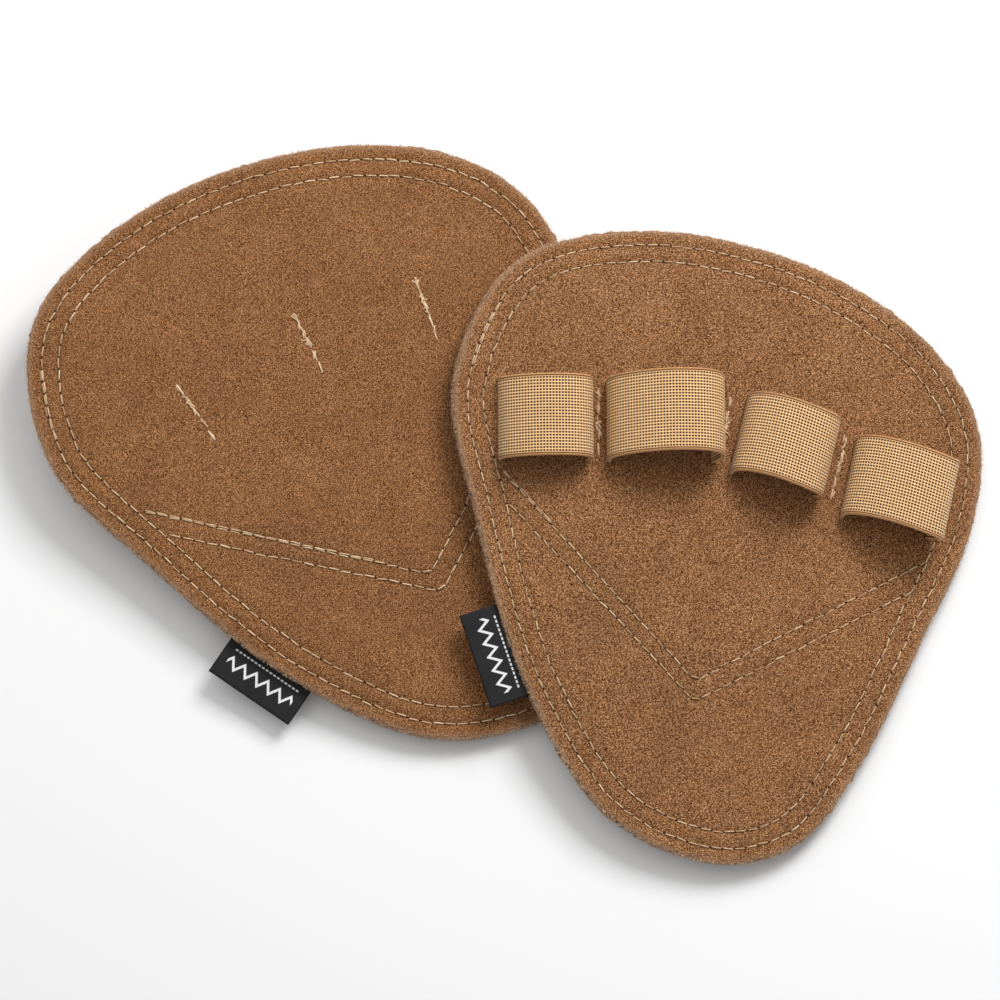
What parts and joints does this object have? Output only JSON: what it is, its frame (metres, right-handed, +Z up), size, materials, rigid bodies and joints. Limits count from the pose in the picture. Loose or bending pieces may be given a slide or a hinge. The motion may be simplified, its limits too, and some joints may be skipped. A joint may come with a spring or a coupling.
{
  "type": "pair of hand grips",
  "caption": "Pair of rounded-triangle suede palm pads with a dark padded core, stitched double round the edge and in a V, with woven elastic finger loops and a folded edge tag.",
  "frame": {"origin": "centre of the pair's outer box, on the surface it lies on", "axes": "+Z up; +X from the left-hand grip towards the right-hand grip; +Y roughly towards the fingertips of the right-hand grip"},
  "size_m": [0.2334, 0.1758, 0.0271],
  "materials": {
    "palm_suede": "napped suede",
    "bar_suede": "short-napped suede",
    "core": "matt black foam rubber",
    "thread": "twisted sewing thread",
    "elastic": "pin-hole woven elastic",
    "label": "woven satin ribbon"
  },
  "bodies": {
    "left_finger_panel": {"left_palm_suede_finger": "palm_suede", "left_core_finger": "core", "left_bar_suede_finger": "bar_suede", "left_outer_seam_finger": "thread", "left_inner_seam_finger": "thread", "left_tack_index_middle": "thread", "left_tack_middle_ring": "thread", "left_tack_ring_little": "thread"},
    "left_flap_panel": {"left_palm_suede_flap": "palm_suede", "left_core_flap": "core", "left_bar_suede_flap": "bar_suede", "left_outer_seam_flap": "thread", "left_inner_seam_flap": "thread", "left_v_seam_upper": "thread", "left_v_seam_lower": "thread", "left_label_root": "label"},
    "left_label": {"left_label_flag": "label"},
    "left_index_loop": {"left_loop_index": "elastic"},
    "left_middle_loop": {"left_loop_middle": "elastic"},
    "left_ring_loop": {"left_loop_ring": "elastic"},
    "left_little_loop": {"left_loop_little": "elastic"},
    "right_finger_panel": {"right_palm_suede_finger": "palm_suede", "right_core_finger": "core", "right_bar_suede_finger": "bar_suede", "right_outer_seam_finger": "thread", "right_inner_seam_finger": "thread", "right_tack_index_middle": "thread", "right_tack_middle_ring": "thread", "right_tack_ring_little": "thread"},
    "right_flap_panel": {"right_palm_suede_flap": "palm_suede", "right_core_flap": "core", "right_bar_suede_flap": "bar_suede", "right_outer_seam_flap": "thread", "right_inner_seam_flap": "thread", "right_v_seam_upper": "thread", "right_v_seam_lower": "thread", "right_label_root": "label"},
    "right_label": {"right_label_flag": "label"},
    "right_index_loop": {"right_loop_index": "elastic"},
    "right_middle_loop": {"right_loop_middle": "elastic"},
    "right_ring_loop": {"right_loop_ring": "elastic"},
    "right_little_loop": {"right_loop_little": "elastic"}
  },
  "joints": [
    {"name": "right_grip_lift", "type": "slide", "parent": "left_finger_panel", "child": "right_finger_panel", "axis": [0, 0, 1], "range_m": [0, 0.08]},
    {"name": "left_flap_fold", "type": "hinge", "parent": "left_finger_panel", "child": "left_flap_panel", "pos_m": [-0.0363, 0.01868, 0.00683], "axis": [0.9111, 0.412, -0.0144], "range_deg": [0, 90], "stiffness_Nm_per_rad": 0.06, "springref_deg": -17.19},
    {"name": "left_label_flip", "type": "hinge", "parent": "left_flap_panel", "child": "left_label", "pos_m": [-0.05729, -0.0405, 0.00615], "axis": [-0.8264, 0.5582, 0.0743], "range_deg": [0, 85]},
    {"name": "left_index_loop_press", "type": "slide", "parent": "left_finger_panel", "child": "left_index_loop", "axis": [0.0454, -0.0655, 0.9968], "range_m": [0, 0.003], "stiffness_N_per_m": 150, "springref_m": -0.004, "deforming": ["left_loop_index"]},
    {"name": "left_middle_loop_press", "type": "slide", "parent": "left_finger_panel", "child": "left_middle_loop", "axis": [0.0454, -0.0655, 0.9968], "range_m": [0, 0.003], "stiffness_N_per_m": 150, "springref_m": -0.004, "deforming": ["left_loop_middle"]},
    {"name": "left_ring_loop_press", "type": "slide", "parent": "left_finger_panel", "child": "left_ring_loop", "axis": [0.0454, -0.0655, 0.9968], "range_m": [0, 0.0028], "stiffness_N_per_m": 150, "springref_m": -0.004, "deforming": ["left_loop_ring"]},
    {"name": "left_little_loop_press", "type": "slide", "parent": "left_finger_panel", "child": "left_little_loop", "axis": [0.0454, -0.0655, 0.9968], "range_m": [0, 0.0025], "stiffness_N_per_m": 150, "springref_m": -0.004, "deforming": ["left_loop_little"]},
    {"name": "right_flap_fold", "type": "hinge", "parent": "right_finger_panel", "child": "right_flap_panel", "pos_m": [0.05212, -0.00545, 0.0107], "axis": [-0.9777, 0.1866, 0.096], "range_deg": [0, 90], "stiffness_Nm_per_rad": 0.06, "springref_deg": -17.19},
    {"name": "right_label_flip", "type": "hinge", "parent": "right_flap_panel", "child": "right_label", "pos_m": [0.00118, -0.03714, 0.01214], "axis": [-0.3222, 0.9435, 0.0775], "range_deg": [0, 85]},
    {"name": "right_index_loop_press", "type": "slide", "parent": "right_finger_panel", "child": "right_index_loop", "axis": [-0.0878, 0.0517, -0.9948], "range_m": [0, 0.0053], "stiffness_N_per_m": 150, "springref_m": -0.001, "deforming": ["right_loop_index"]},
    {"name": "right_middle_loop_press", "type": "slide", "parent": "right_finger_panel", "child": "right_middle_loop", "axis": [-0.0878, 0.0517, -0.9948], "range_m": [0, 0.0074], "stiffness_N_per_m": 150, "springref_m": -0.001, "deforming": ["right_loop_middle"]},
    {"name": "right_ring_loop_press", "type": "slide", "parent": "right_finger_panel", "child": "right_ring_loop", "axis": [-0.0878, 0.0517, -0.9948], "range_m": [0, 0.0062], "stiffness_N_per_m": 150, "springref_m": -0.001, "deforming": ["right_loop_ring"]},
    {"name": "right_little_loop_press", "type": "slide", "parent": "right_finger_panel", "child": "right_little_loop", "axis": [-0.0878, 0.0517, -0.9948], "range_m": [0, 0.0071], "stiffness_N_per_m": 150, "springref_m": -0.001, "deforming": ["right_loop_little"]}
  ]
}
